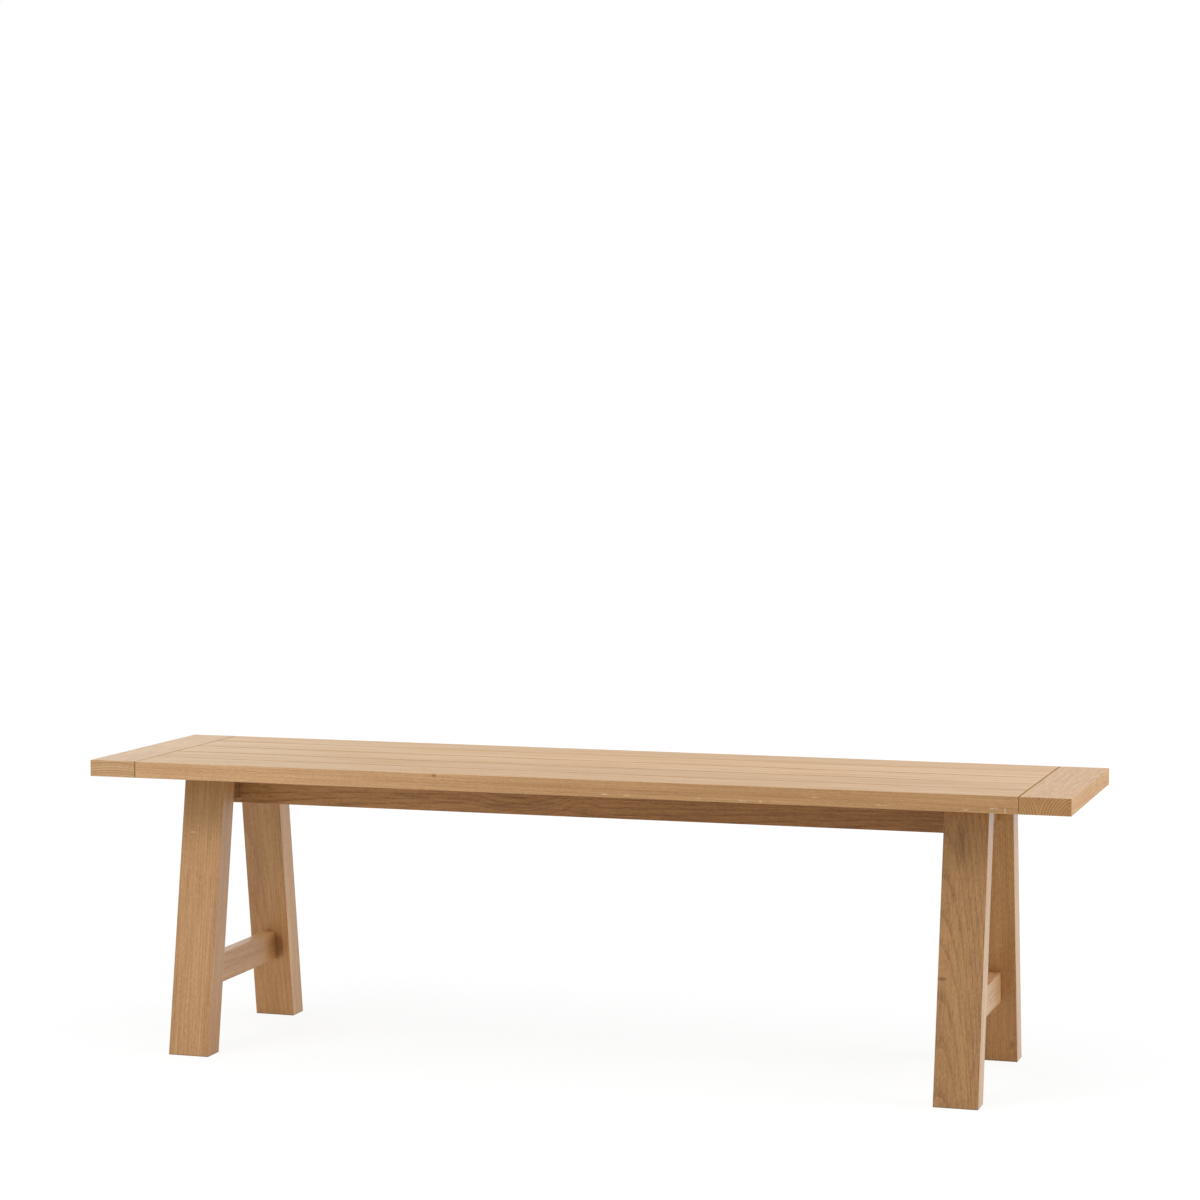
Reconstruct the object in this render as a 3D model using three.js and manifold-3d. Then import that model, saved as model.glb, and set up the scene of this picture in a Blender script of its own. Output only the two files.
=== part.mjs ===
// A solid oak trestle bench. Five boards make the seat, with an end board across each end of them on
// their tongues. Two A-shaped trestles carry the seat, each with a bearer under the seat and a
// stretcher near the floor, and a long rail under the seat ties the two trestles together.
// Sizes are in millimetres. X runs along the bench, -Y is its front, and Z is up from the floor.
import * as THREE from "three";
import { mergeVertices } from "three/addons/utils/BufferGeometryUtils.js";
import Module from "manifold-3d";

const wasm = await Module();
wasm.setup();

// Seat
const seatLength = 1500;
const seatHeight = 448;
const boardCount = 5;
const boardWidth = 77;
const boardThickness = 25;
const boardEase = 0.8;
const endBoardWidth = 74;
const endJointGap = 0.4;
const tongueLength = 18;
const tongueThickness = 8;
const tongueSetback = 22;
const splineWidth = 16;
const splineThickness = 4;

// Trestles
const endOverhang = 127;
const legWidth = 65;
const legThickness = 40;
const footSpread = 380;
const leanDegrees = 9.1;
const stickEase = 1;
const bearerThickness = 19;
const bearerHeight = 48;
const stretcherThickness = 19;
const stretcherHeight = 45;
const stretcherRise = 95;

// Long rail, with a lip below the bearers that runs on under them
const railThickness = 22;
const railLip = 8;

// Dowels, and where they stand in each joint
const dowelDiameter = 8;
const dowelLength = 40;
const dowelPoint = 1.2;
const bearerDowelSpacing = 28;
const stretcherDowelSpacing = 22;
const railDowelSpacing = 28;
const railDowelInBearer = 14;

// Bolts that hold the rail to the bearers, and the barrel nuts that they screw into
const railBoltDiameter = 6;
const railBoltHeadDiameter = 15;
const railBoltHeadHeight = 2.6;
const railBoltHeadEdge = 1.2;
const railBoltKey = 4;
const railBoltKeyDepth = 1.8;
const barrelNutDiameter = 10;
const barrelNutLength = 14;
const barrelNutFromShoulder = 24;
const railBoltPastNut = 2;
const barrelNutSlot = 1.4;
const barrelNutSlotDepth = 1.6;

// Bolts that hold the seat to the bearers, with their washers and threaded inserts
const seatBoltFromDowel = 10;
const seatBoltDiameter = 6;
const seatBoltGrip = 8;
const seatBoltHeadDiameter = 10;
const seatBoltHeadHeight = 6;
const seatBoltKey = 5;
const seatBoltKeyDepth = 3;
const washerDiameter = 12;
const washerThickness = 1.6;
const counterboreDiameter = 13;
const counterboreDepth = 15;
const insertDiameter = 10;
const insertLength = 8.5;
const insertRecess = 0.3;

// Screws that hold the middle of the seat down to the rail
const railScrewPlaceShares = [-0.32, 0, 0.32];
const railScrewDiameter = 5;
const railScrewGrip = 17;
const railScrewPoint = 7;
const railScrewHeadDiameter = 9.5;
const railScrewHeadHeight = 3.4;
const railScrewHeadCrown = 1;
const railScrewCrossWidth = 1.3;
const railScrewCrossSpan = 5;
const railScrewCrossDepth = 2;
const railScrewCounterbore = 11;
const railScrewCounterboreDepth = 12;

// Clearances: round a piece in its hole, past the end of a piece in its hole, and at a shoulder
const fitGap = 0.2;
const endRoom = 1;
const shoulderGap = 0.3;
const overrun = 20;
const roundSides = 24;
const keySides = 6;

// What follows from the sizes
const seatDepth = boardCount * boardWidth;
const undersideHeight = seatHeight - boardThickness;
const panelLength = seatLength - 2 * (endBoardWidth + endJointGap);
const trestlePlace = seatLength / 2 - endOverhang - legWidth / 2;
const bearerBottom = undersideHeight - bearerHeight;
const bearerMiddle = undersideHeight - bearerHeight / 2;
const stretcherMiddle = stretcherRise + stretcherHeight / 2;
const railHeight = bearerHeight + railLip;
const railBottom = undersideHeight - railHeight;
const railMiddle = undersideHeight - railHeight / 2;
const railLength = 2 * trestlePlace + bearerThickness;
const railShoulder = trestlePlace - bearerThickness / 2;
const lean = THREE.MathUtils.degToRad(leanDegrees);
const legDepth = legThickness / Math.cos(lean);
const seatBoltLength = bearerHeight - counterboreDepth + washerThickness + seatBoltGrip;
const railBoltLength = bearerThickness + barrelNutFromShoulder + barrelNutDiameter / 2 + railBoltPastNut;
const railScrewLength = railHeight - railScrewCounterboreDepth + railScrewGrip;

// Distance from the trestle's middle to a leg's outer and inner face, at a height above the floor
const outerFaceAt = (height) => footSpread / 2 - height * Math.tan(lean);
const innerFaceAt = (height) => outerFaceAt(height) - legDepth;

// The seat's bolts go up just inside the ends of the dowels that hold the bearer to the legs
const seatBoltPlace = innerFaceAt(bearerMiddle) - dowelLength / 2 - seatBoltFromDowel;

const wood = (color, roughness) =>
  new THREE.MeshStandardMaterial({ color, roughness, metalness: 0, flatShading: true });
const metal = (color, roughness) =>
  new THREE.MeshStandardMaterial({ color, roughness, metalness: 1, flatShading: true });
const seatOak = wood(0xd9b98f, 0.5);
const frameOak = wood(0xb68d5f, 0.55);
const beech = wood(0xe0c39a, 0.7);
const birchPly = wood(0xd8bd92, 0.75);
const zincSteel = metal(0xb9bcc0, 0.35);
const insertBrass = metal(0xb99a4f, 0.4);

// Solids for joining and cutting
function solidOf(geometry) {
  const bare = geometry.clone();
  bare.deleteAttribute("normal");
  bare.deleteAttribute("uv");
  const merged = mergeVertices(bare);
  return new wasm.Manifold(
    new wasm.Mesh({
      numProp: 3,
      vertProperties: merged.getAttribute("position").array,
      triVerts: new Uint32Array(merged.index.array),
    }),
  );
}

function geometryOf(solid) {
  const mesh = solid.getMesh();
  const geometry = new THREE.BufferGeometry();
  geometry.setAttribute("position", new THREE.BufferAttribute(mesh.vertProperties, mesh.numProp));
  geometry.setIndex(new THREE.BufferAttribute(mesh.triVerts, 1));
  geometry.computeVertexNormals();
  return geometry;
}

function cut(blank, tools) {
  const whole = solidOf(blank);
  return geometryOf(tools.reduce((rest, tool) => rest.subtract(solidOf(tool)), whole));
}

function join(pieces) {
  return geometryOf(pieces.map(solidOf).reduce((all, piece) => all.add(piece)));
}

// A rectangle with its four corners eased, centred on the origin
function easedRectangle(width, height, ease) {
  const outline = new THREE.Shape();
  const right = width / 2;
  const top = height / 2;
  outline.moveTo(ease - right, -top);
  outline.lineTo(right - ease, -top);
  outline.lineTo(right, ease - top);
  outline.lineTo(right, top - ease);
  outline.lineTo(right - ease, top);
  outline.lineTo(ease - right, top);
  outline.lineTo(-right, top - ease);
  outline.lineTo(-right, ease - top);
  outline.closePath();
  return outline;
}

// A board lying flat on z = 0 and centred on the origin, with every edge eased
function board(length, width, thickness) {
  return new THREE.ExtrudeGeometry(easedRectangle(length, width, boardEase), {
    depth: thickness - 2 * boardEase,
    bevelEnabled: true,
    bevelThickness: boardEase,
    bevelSize: boardEase,
    bevelOffset: -boardEase,
    bevelSegments: 1,
  }).translate(0, 0, boardEase);
}

// A stick centred on the origin along Z, X by Y in section, with its four long edges eased
function stick(width, depth, length) {
  return new THREE.ExtrudeGeometry(easedRectangle(width, depth, stickEase), {
    depth: length,
    bevelEnabled: false,
  }).translate(0, 0, -length / 2);
}

function block(length, width, height) {
  return new THREE.BoxGeometry(length, width, height);
}

// A round tool or pin from z = 0 up to its length
function rod(diameter, length) {
  return new THREE.CylinderGeometry(diameter / 2, diameter / 2, length, roundSides)
    .rotateX(Math.PI / 2)
    .translate(0, 0, length / 2);
}

// The socket for a hexagon key, from z = 0 down to its depth, open past the top
function keySocket(acrossFlats, depth) {
  const radius = acrossFlats / 2 / Math.cos(Math.PI / keySides);
  return new THREE.CylinderGeometry(radius, radius, depth + overrun, keySides)
    .rotateX(Math.PI / 2)
    .translate(0, 0, (overrun - depth) / 2);
}

// A turned piece standing on the Z axis, from points of radius and height that start and end on the axis
function turned(points) {
  const profile = points.map(([radius, height]) => new THREE.Vector2(radius, height));
  return new THREE.LatheGeometry(profile, roundSides).rotateX(Math.PI / 2);
}

function add(group, name, geometry, material, x = 0, y = 0, z = 0) {
  const mesh = new THREE.Mesh(geometry, material);
  mesh.name = name;
  mesh.position.set(x, y, z);
  group.add(mesh);
  return mesh;
}

const bench = new THREE.Group();

// Seat boards, edge to edge on plywood splines, with one tongue across each end of the panel.
// The panel's outer boards lose their tongue near the front and back, so that it stays hidden.
const splineGroove = block(
  seatLength,
  splineWidth + 2 * fitGap,
  splineThickness + 2 * fitGap,
).translate(0, 0, boardThickness / 2);
const insertHoleDepth = insertRecess + insertLength + endRoom;
const insertHole = rod(insertDiameter + 2 * fitGap, insertHoleDepth + overrun).translate(0, 0, -overrun);
const pilotHoleDepth = railScrewGrip + endRoom;
const pilotHole = rod(railScrewDiameter + 2 * fitGap, pilotHoleDepth + overrun).translate(0, 0, -overrun);
const railScrewPlaces = railScrewPlaceShares.map((share) => share * railLength);

function seatBoard(place, isFront, isBack) {
  const tongue = block(panelLength + 2 * tongueLength, boardWidth, tongueThickness).translate(
    0,
    0,
    boardThickness / 2,
  );
  const tools = [];
  for (const side of [-1, 1]) {
    const outside = side < 0 ? isFront : isBack;
    if (outside) {
      for (const end of [-1, 1]) {
        tools.push(
          block(tongueLength + overrun, 2 * tongueSetback, tongueThickness + overrun).translate(
            end * (panelLength / 2 + (tongueLength + overrun) / 2),
            (side * boardWidth) / 2,
            boardThickness / 2,
          ),
        );
      }
    } else {
      tools.push(splineGroove.clone().translate(0, (side * boardWidth) / 2, 0));
    }
  }
  for (const x of [-trestlePlace, trestlePlace]) {
    for (const y of [-seatBoltPlace, seatBoltPlace]) {
      tools.push(insertHole.clone().translate(x, y - place, 0));
    }
  }
  for (const x of railScrewPlaces) {
    tools.push(pilotHole.clone().translate(x, -place, 0));
  }
  return cut(join([board(panelLength, boardWidth, boardThickness), tongue]), tools);
}

for (let index = 0; index < boardCount; index += 1) {
  const place = (index - (boardCount - 1) / 2) * boardWidth;
  const geometry = seatBoard(place, index === 0, index === boardCount - 1);
  add(bench, `seat_board_${index + 1}`, geometry, seatOak, 0, place, undersideHeight);
}

const spline = block(panelLength + 2 * tongueLength, splineWidth, splineThickness);
for (let index = 1; index < boardCount; index += 1) {
  const place = (index - boardCount / 2) * boardWidth;
  const height = undersideHeight + boardThickness / 2;
  add(bench, `seat_spline_${index}`, spline, birchPly, 0, place, height);
}

// End boards, each grooved along its inner edge for the panel's tongue, with both ends of the groove stopped
function endBoard(side) {
  const grooveDepth = tongueLength + endRoom - endJointGap;
  const groove = block(
    grooveDepth + overrun,
    seatDepth - 2 * tongueSetback + 2 * fitGap,
    tongueThickness + 2 * fitGap,
  );
  const inside = -side * (endBoardWidth / 2 + overrun / 2 - grooveDepth / 2);
  return cut(board(endBoardWidth, seatDepth, boardThickness), [
    groove.translate(inside, 0, boardThickness / 2),
  ]);
}

for (const [side, name] of [
  [-1, "left"],
  [1, "right"],
]) {
  const place = (side * (seatLength - endBoardWidth)) / 2;
  add(bench, `end_board_${name}`, endBoard(side), seatOak, place, 0, undersideHeight);
}

// Dowels are turned with both ends pointed, and stand from -half to +half of their length on Z
function dowel() {
  const radius = dowelDiameter / 2;
  const half = dowelLength / 2;
  return turned([
    [0, -half],
    [radius - dowelPoint, -half],
    [radius, dowelPoint - half],
    [radius, half - dowelPoint],
    [radius - dowelPoint, half],
    [0, half],
  ]);
}

const dowelHole = rod(dowelDiameter + 2 * fitGap, dowelLength + 2 * endRoom).translate(
  0,
  0,
  -dowelLength / 2 - endRoom,
);
const crossDowel = dowel().rotateX(Math.PI / 2);
const crossDowelHole = dowelHole.clone().rotateX(Math.PI / 2);
const longDowel = dowel().rotateY(Math.PI / 2);
const longDowelHole = dowelHole.clone().rotateY(Math.PI / 2);
const pairAbout = (middle, spacing) => [
  ["upper", middle + spacing / 2],
  ["lower", middle - spacing / 2],
];
const legDowelHeights = {
  bearer: pairAbout(bearerMiddle, bearerDowelSpacing),
  stretcher: pairAbout(stretcherMiddle, stretcherDowelSpacing),
};
const railDowelHeights = pairAbout(bearerMiddle, railDowelSpacing);

// The front leg of a trestle: a stick that leans inwards, cut level at the floor and under the seat
function leg() {
  const length = undersideHeight / Math.cos(lean) + 2 * (legThickness + overrun);
  const middle = undersideHeight / 2;
  const centre = -(outerFaceAt(middle) + innerFaceAt(middle)) / 2;
  const blank = stick(legWidth, legThickness, length).rotateX(-lean).translate(0, centre, middle);
  const waste = block(legWidth + overrun, footSpread, length);
  const tools = [
    waste.clone().translate(0, centre, -length / 2),
    waste.clone().translate(0, centre, undersideHeight + length / 2),
  ];
  for (const [, height] of [...legDowelHeights.bearer, ...legDowelHeights.stretcher]) {
    tools.push(crossDowelHole.clone().translate(0, -innerFaceAt(height), height));
  }
  return cut(blank, tools);
}

// A cross member between the legs, cut at each end to the legs' slope, standing on z = bottom
function crossMember(thickness, height, bottom, dowelHeights, tools) {
  const middle = bottom + height / 2;
  const blank = stick(thickness, height, footSpread).rotateX(Math.PI / 2).translate(0, 0, middle);
  const waste = block(thickness + overrun, footSpread, 2 * height + overrun);
  const endTools = [-1, 1].flatMap((side) => {
    const face = side * (innerFaceAt(middle) - shoulderGap);
    const slope = waste
      .clone()
      .translate(0, (side * footSpread) / 2, 0)
      .rotateX(side * lean)
      .translate(0, face, middle);
    const holes = dowelHeights.map(([, z]) => crossDowelHole.clone().translate(0, side * innerFaceAt(z), z));
    return [slope, ...holes];
  });
  return cut(blank, [...endTools, ...tools]);
}

// Holes in the bearer for the bolts up into the seat, and for the rail's bolt and dowels
function bearerHoles() {
  const tools = [];
  for (const y of [-seatBoltPlace, seatBoltPlace]) {
    tools.push(
      rod(seatBoltDiameter + 2 * fitGap, bearerHeight + 2 * overrun).translate(0, y, bearerBottom - overrun),
      rod(counterboreDiameter, counterboreDepth + overrun).translate(0, y, bearerBottom - overrun),
    );
  }
  tools.push(
    rod(railBoltDiameter + 2 * fitGap, bearerThickness + 2 * overrun)
      .rotateY(Math.PI / 2)
      .translate(-bearerThickness / 2 - overrun, 0, bearerMiddle),
  );
  const dowelMiddle = railDowelInBearer - bearerThickness / 2 - dowelLength / 2;
  for (const [, height] of railDowelHeights) {
    tools.push(longDowelHole.clone().translate(dowelMiddle, 0, height));
  }
  return tools;
}

// Bolt with a socket head, its head down from z = 0 and its shank up
function seatBolt() {
  const shank = seatBoltDiameter / 2;
  const head = seatBoltHeadDiameter / 2;
  const body = turned([
    [0, -seatBoltHeadHeight],
    [head, -seatBoltHeadHeight],
    [head, 0],
    [shank, 0],
    [shank, seatBoltLength],
    [0, seatBoltLength],
  ]);
  const socket = keySocket(seatBoltKey, seatBoltKeyDepth)
    .rotateX(Math.PI)
    .translate(0, 0, -seatBoltHeadHeight);
  return cut(body, [socket]);
}

// Flat-headed bolt, its head up from z = 0 and its shank down
function railBolt() {
  const shank = railBoltDiameter / 2;
  const head = railBoltHeadDiameter / 2;
  const body = turned([
    [0, -railBoltLength],
    [shank, -railBoltLength],
    [shank, 0],
    [head, 0],
    [head, railBoltHeadHeight - railBoltHeadEdge],
    [head - railBoltHeadEdge, railBoltHeadHeight],
    [0, railBoltHeadHeight],
  ]);
  return cut(body, [keySocket(railBoltKey, railBoltKeyDepth).translate(0, 0, railBoltHeadHeight)]);
}

// Washers and inserts are plain rings from z = 0 up
function ring(outerDiameter, innerDiameter, height) {
  const hole = rod(innerDiameter, height + 2 * overrun).translate(0, 0, -overrun);
  return cut(rod(outerDiameter, height), [hole]);
}

const legGeometry = leg();
const bearerGeometry = crossMember(
  bearerThickness,
  bearerHeight,
  bearerBottom,
  legDowelHeights.bearer,
  bearerHoles(),
);
const stretcherGeometry = crossMember(
  stretcherThickness,
  stretcherHeight,
  stretcherRise,
  legDowelHeights.stretcher,
  [],
);
const seatBoltGeometry = seatBolt();
const railBoltGeometry = railBolt().rotateY(Math.PI / 2);
const washerGeometry = ring(washerDiameter, seatBoltDiameter + 2 * fitGap, washerThickness);
const insertGeometry = ring(insertDiameter, seatBoltDiameter + 2 * fitGap, insertLength);

// One trestle in its own frame, with the rail on its -X side. The left one is turned half round.
function trestle(name, isTurned) {
  const group = new THREE.Group();
  const washerBottom = bearerBottom + counterboreDepth - washerThickness;
  for (const side of [-1, 1]) {
    const end = side < 0 !== isTurned ? "front" : "back";
    const legMesh = add(group, `${name}_leg_${end}`, legGeometry, frameOak);
    legMesh.rotation.z = side < 0 ? 0 : Math.PI;
    for (const [member, heights] of Object.entries(legDowelHeights)) {
      for (const [level, height] of heights) {
        const dowelName = `${name}_${member}_dowel_${end}_${level}`;
        add(group, dowelName, crossDowel, beech, 0, side * innerFaceAt(height), height);
      }
    }
    const y = side * seatBoltPlace;
    add(group, `${name}_seat_bolt_${end}`, seatBoltGeometry, zincSteel, 0, y, washerBottom);
    add(group, `${name}_seat_washer_${end}`, washerGeometry, zincSteel, 0, y, washerBottom);
    const insertBottom = undersideHeight + insertRecess;
    add(group, `${name}_seat_insert_${end}`, insertGeometry, insertBrass, 0, y, insertBottom);
  }
  add(group, `${name}_bearer`, bearerGeometry, frameOak);
  add(group, `${name}_stretcher`, stretcherGeometry, frameOak);
  add(group, `${name}_rail_bolt`, railBoltGeometry, zincSteel, bearerThickness / 2, 0, bearerMiddle);
  for (const [level, height] of railDowelHeights) {
    const x = railDowelInBearer - bearerThickness / 2 - dowelLength / 2;
    add(group, `${name}_rail_dowel_${level}`, longDowel, beech, x, 0, height);
  }
  group.position.x = isTurned ? -trestlePlace : trestlePlace;
  group.rotation.z = isTurned ? Math.PI : 0;
  return group;
}

bench.add(trestle("left", true), trestle("right", false));

// Long rail, notched at each end round the bearer, which stands on its lip. It is bored there for the
// dowels, the bolt and the barrel nut, and from below for the screws.
function rail() {
  const notch = block(bearerThickness + overrun, railThickness + overrun, bearerHeight + overrun);
  const notchPlace = railShoulder - shoulderGap + (bearerThickness + overrun) / 2;
  const notchHeight = bearerBottom - shoulderGap + (bearerHeight + overrun) / 2;
  const tools = [];
  for (const side of [-1, 1]) {
    tools.push(notch.clone().translate(side * notchPlace, 0, notchHeight));
    const boltDepth = railBoltLength - bearerThickness + endRoom;
    const boltHole = rod(railBoltDiameter + 2 * fitGap, boltDepth + overrun).rotateY((side * Math.PI) / 2);
    tools.push(boltHole.translate(side * (railShoulder - boltDepth), 0, bearerMiddle));
    const nutDepth = (railThickness + barrelNutLength) / 2 + fitGap;
    const nutHole = rod(barrelNutDiameter + 2 * fitGap, nutDepth + overrun).rotateX(-Math.PI / 2);
    const nutPlace = side * (railShoulder - barrelNutFromShoulder);
    tools.push(nutHole.translate(nutPlace, railThickness / 2 - nutDepth, bearerMiddle));
    const dowelMiddle = side * (railShoulder - dowelLength / 2 + railDowelInBearer);
    for (const [, height] of railDowelHeights) {
      tools.push(longDowelHole.clone().translate(dowelMiddle, 0, height));
    }
  }
  for (const x of railScrewPlaces) {
    tools.push(
      rod(railScrewDiameter + 2 * fitGap, railHeight + 2 * overrun).translate(x, 0, railBottom - overrun),
      rod(railScrewCounterbore, railScrewCounterboreDepth + overrun).translate(x, 0, railBottom - overrun),
    );
  }
  const blank = stick(railHeight, railThickness, railLength).rotateY(Math.PI / 2).translate(0, 0, railMiddle);
  return cut(blank, tools);
}

add(bench, "long_rail", rail(), frameOak);

// Barrel nut lying along Y, bored across for its bolt and slotted in its rear end for a screwdriver
function barrelNut() {
  const body = rod(barrelNutDiameter, barrelNutLength)
    .translate(0, 0, -barrelNutLength / 2)
    .rotateX(-Math.PI / 2);
  const across = barrelNutDiameter + 2 * overrun;
  const boltHole = rod(railBoltDiameter + 2 * fitGap, across)
    .rotateY(Math.PI / 2)
    .translate(-across / 2, 0, 0);
  const slot = block(across, 2 * barrelNutSlotDepth, barrelNutSlot).translate(0, barrelNutLength / 2, 0);
  return cut(body, [boltHole, slot]);
}

const nutGeometry = barrelNut();
const nutPlace = railShoulder - barrelNutFromShoulder;
add(bench, "left_barrel_nut", nutGeometry, zincSteel, -nutPlace, 0, bearerMiddle);
add(bench, "right_barrel_nut", nutGeometry, zincSteel, nutPlace, 0, bearerMiddle);

// Wood screw, its crowned head down from z = 0 and its shank up, with a cross recess in the head
function railScrew() {
  const shank = railScrewDiameter / 2;
  const head = railScrewHeadDiameter / 2;
  const body = turned([
    [0, -railScrewHeadHeight],
    [head - railScrewHeadCrown, -railScrewHeadHeight],
    [head, railScrewHeadCrown - railScrewHeadHeight],
    [head, 0],
    [shank, 0],
    [shank, railScrewLength - railScrewPoint],
    [0, railScrewLength],
  ]);
  const slot = block(railScrewCrossSpan, railScrewCrossWidth, 2 * railScrewCrossDepth);
  return cut(body, [
    slot.clone().translate(0, 0, -railScrewHeadHeight),
    slot.clone().rotateZ(Math.PI / 2).translate(0, 0, -railScrewHeadHeight),
  ]);
}

const screwGeometry = railScrew();
const screwSeat = railBottom + railScrewCounterboreDepth;
railScrewPlaces.forEach((x, index) => {
  add(bench, `rail_screw_${index + 1}`, screwGeometry, zincSteel, x, 0, screwSeat);
});

export default bench;
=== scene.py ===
import math

import bpy
from mathutils import Euler, Matrix, Vector


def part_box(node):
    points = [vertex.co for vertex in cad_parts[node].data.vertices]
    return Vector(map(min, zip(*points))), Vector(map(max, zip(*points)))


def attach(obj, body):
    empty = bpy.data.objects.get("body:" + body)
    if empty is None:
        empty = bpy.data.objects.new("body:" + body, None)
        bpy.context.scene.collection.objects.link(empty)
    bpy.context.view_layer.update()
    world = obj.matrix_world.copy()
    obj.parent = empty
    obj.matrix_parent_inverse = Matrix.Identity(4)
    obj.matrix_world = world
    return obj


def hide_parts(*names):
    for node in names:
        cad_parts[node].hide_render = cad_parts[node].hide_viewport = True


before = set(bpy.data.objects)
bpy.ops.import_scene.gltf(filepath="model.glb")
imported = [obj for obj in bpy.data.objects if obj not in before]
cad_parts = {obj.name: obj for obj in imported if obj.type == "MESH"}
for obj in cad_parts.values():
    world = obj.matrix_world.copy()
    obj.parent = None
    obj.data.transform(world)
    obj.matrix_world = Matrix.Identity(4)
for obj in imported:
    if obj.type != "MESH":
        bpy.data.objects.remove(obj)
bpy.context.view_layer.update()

# Seat boards
# Five oak boards, planed to 25 mm and glued edge to edge on plywood splines. Their arrises
# are rounded over, so each joint shows as a fine V, and the ends of the panel are worked to
# one long tongue. Blind holes from below take the seat's inserts and the rail's screws.
arris = 0.0009
arris_steps = 4
joint_gap = 0.0004
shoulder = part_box("end_board_right")[0].x - joint_gap
tongue_height = 0.008
tongue_setback = 0.022
pilot_hole = 0.005
# the gap round what fits in a groove or hole, the gap at its end, and how far a tool runs past a piece
play = 0.0002
end_gap = 0.001
past = 0.004


def sawn(name, low, high):
    """A board or stick sawn to its size, lying in its place."""
    bpy.ops.object.select_all(action="DESELECT")
    bpy.ops.mesh.primitive_cube_add(size=1, location=(low + high) / 2, scale=high - low)
    bpy.ops.object.transform_apply(location=True, rotation=True, scale=True)
    bpy.context.object.name = name
    return bpy.context.object


def pick_faces(piece, wanted):
    """Picks a piece's faces by their middle and the way they face."""
    bpy.ops.object.mode_set(mode="EDIT")
    bpy.ops.mesh.select_mode(type="FACE")
    bpy.ops.mesh.select_all(action="DESELECT")
    bpy.ops.object.mode_set(mode="OBJECT")
    for face in piece.data.polygons:
        face.select = wanted(face.center, face.normal)
    bpy.ops.object.mode_set(mode="EDIT")


def pick_edges(piece, wanted):
    """Picks a piece's edges by their middle and the way they run."""
    bpy.ops.object.mode_set(mode="EDIT")
    bpy.ops.mesh.select_mode(type="EDGE")
    bpy.ops.mesh.select_all(action="DESELECT")
    bpy.ops.object.mode_set(mode="OBJECT")
    corners = piece.data.vertices
    for edge in piece.data.edges:
        start, end = (corners[index].co for index in edge.vertices)
        edge.select = wanted((start + end) / 2, (end - start).normalized())
    bpy.ops.object.mode_set(mode="EDIT")


def round_over(piece, width, wanted=lambda middle, run: True):
    """Rounds over the wanted arrises of a piece."""
    pick_edges(piece, wanted)
    bpy.ops.mesh.bevel(offset=width, segments=arris_steps, profile=0.5, affect="EDGES")
    bpy.ops.object.mode_set(mode="OBJECT")


def take_away(piece, tool):
    """Cuts the shape of a tool out of a piece."""
    bpy.ops.object.select_all(action="DESELECT")
    bpy.context.view_layer.objects.active = piece
    piece.select_set(True)
    cut = piece.modifiers.new("cut", "BOOLEAN")
    cut.object = tool
    bpy.ops.object.modifier_apply(modifier=cut.name)
    bpy.data.objects.remove(tool)


def groove(piece, low, high):
    """Ploughs a square groove or slot between two corners."""
    take_away(piece, sawn("plough", low, high))


def bore(piece, start, end, diameter, sides=40):
    """Drills a round hole from start to end."""
    run = Vector(end) - Vector(start)
    bpy.ops.object.select_all(action="DESELECT")
    bpy.ops.mesh.primitive_cylinder_add(
        vertices=sides, radius=diameter / 2, depth=run.length,
        location=(Vector(start) + Vector(end)) / 2, rotation=run.to_track_quat("Z", "Y").to_euler())
    take_away(piece, bpy.context.object)


def fit(piece, node, finish):
    """Smooths a piece, gives it its finish and puts it in its node's place."""
    bpy.ops.object.select_all(action="DESELECT")
    bpy.context.view_layer.objects.active = piece
    piece.select_set(True)
    bpy.ops.object.shade_smooth_by_angle(angle=math.radians(30))
    flats = piece.modifiers.new("flats", "WEIGHTED_NORMAL")
    flats.keep_sharp = True
    flats.weight = 100
    bpy.ops.object.modifier_apply(modifier=flats.name)
    piece.data.materials.clear()
    piece.data.materials.append(finish)
    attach(piece, "root")
    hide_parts(node)


def step(finish, kind, feeds=None, **settings):
    """Adds one node to a finish, with what feeds it."""
    node = finish.node_tree.nodes.new("ShaderNode" + kind)
    for name, value in settings.items():
        setattr(node, name, value)
    for socket, value in (feeds or {}).items():
        if isinstance(value, bpy.types.NodeSocket):
            finish.node_tree.links.new(value, node.inputs[socket])
        else:
            node.inputs[socket].default_value = value
    return node.outputs


def blended(finish, share, first, second):
    """Goes from one colour to another, plain or from other nodes, as the share goes from 0 to 1."""
    first, second = (part if isinstance(part, bpy.types.NodeSocket) else (*part, 1) for part in (first, second))
    return step(finish, "Mix", {"Factor": share, "A": first, "B": second}, data_type="RGBA")["Result"]


# the oak's palest and brownest, and its bare fibres where it is scuffed
oak_pale = (0.570, 0.328, 0.143)
oak_brown = (0.290, 0.140, 0.048)
oak_scuff = (0.700, 0.560, 0.390)


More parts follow.
